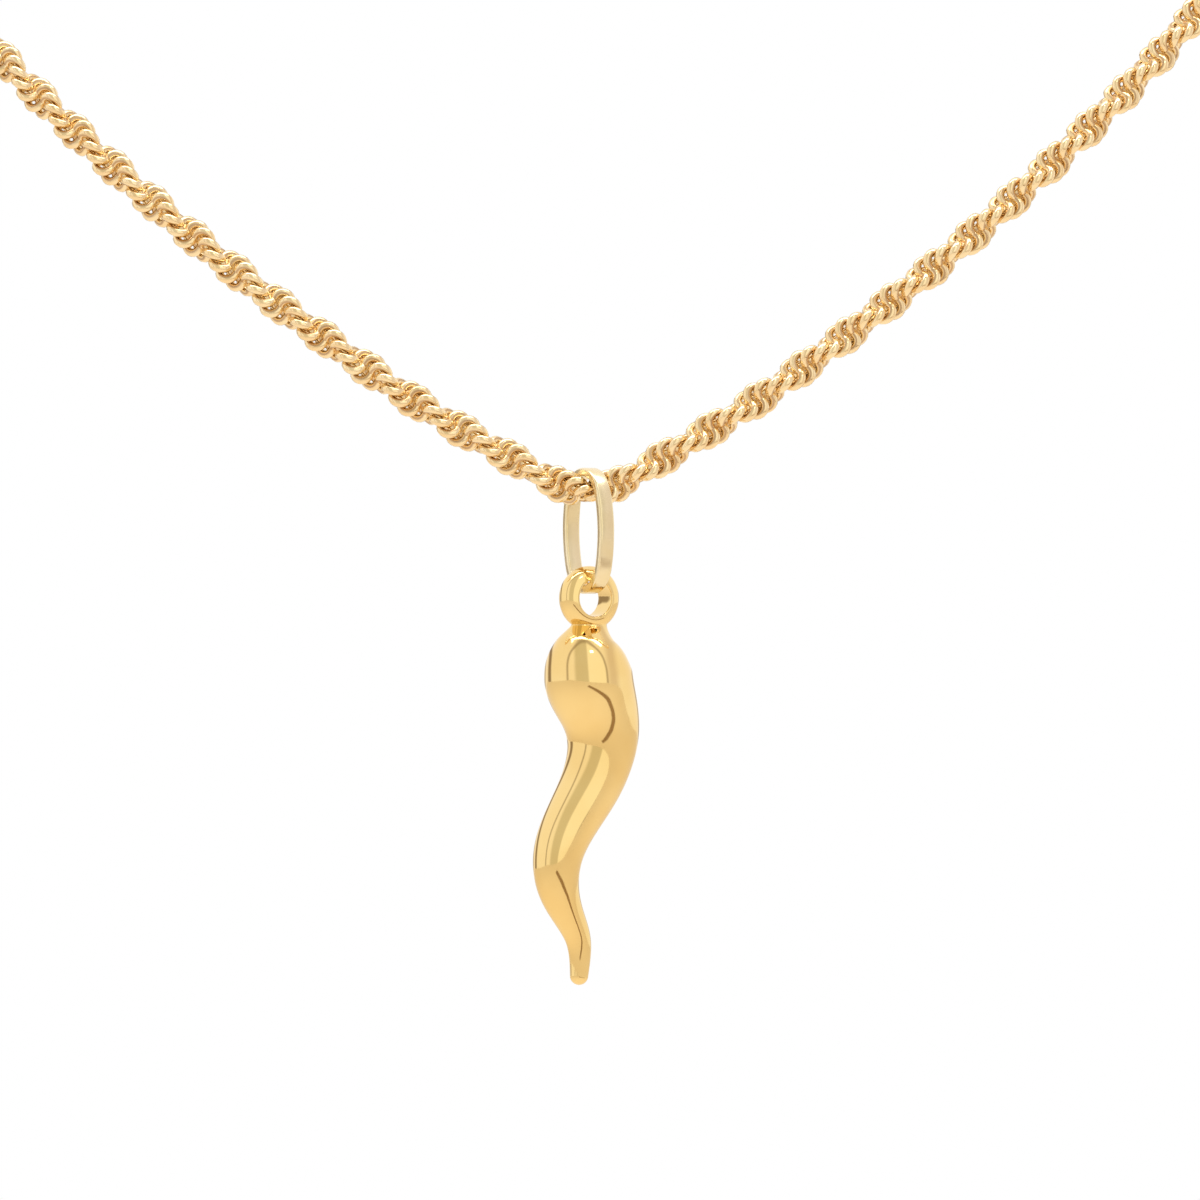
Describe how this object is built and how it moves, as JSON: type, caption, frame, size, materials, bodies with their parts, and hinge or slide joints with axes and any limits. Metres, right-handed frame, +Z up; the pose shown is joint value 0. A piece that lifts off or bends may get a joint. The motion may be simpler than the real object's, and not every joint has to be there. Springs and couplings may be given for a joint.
{
  "type": "chili pepper pendant on rope chain",
  "caption": "Curved, tapering horn or chili pepper charm in polished gold, with a cast eye, hung from a flat oval bail on a whole twisted rope chain with a barrel clasp.",
  "frame": {"origin": "the middle of the clasp, where the chain lies on the nape of the neck", "axes": "+Z up, the front of the neck and the pendant face -Y, +X to the right as seen from the front"},
  "size_m": [0.1164, 0.1185, 0.146],
  "materials": {
    "polished_gold": "mirror-polished yellow gold",
    "pale_gold": "polished pale yellow gold",
    "rope_gold": "polished yellow gold wire",
    "clasp_gold": "polished yellow gold"
  },
  "bodies": {
    "necklace": {"chain": "rope_gold", "clasp": "clasp_gold"},
    "bail": {"bail": "pale_gold"},
    "horn": {"horn": "polished_gold"}
  },
  "joints": [
    {"name": "bail_swing", "type": "hinge", "parent": "necklace", "child": "bail", "pos_m": [0, -0.115, -0.12], "axis": [1, 0, 0], "range_deg": [-50, 50]},
    {"name": "horn_swing", "type": "hinge", "parent": "bail", "child": "horn", "pos_m": [0, -0.115, -0.12536], "axis": [-0.5, 0.866, 0], "range_deg": [-60, 60]}
  ]
}
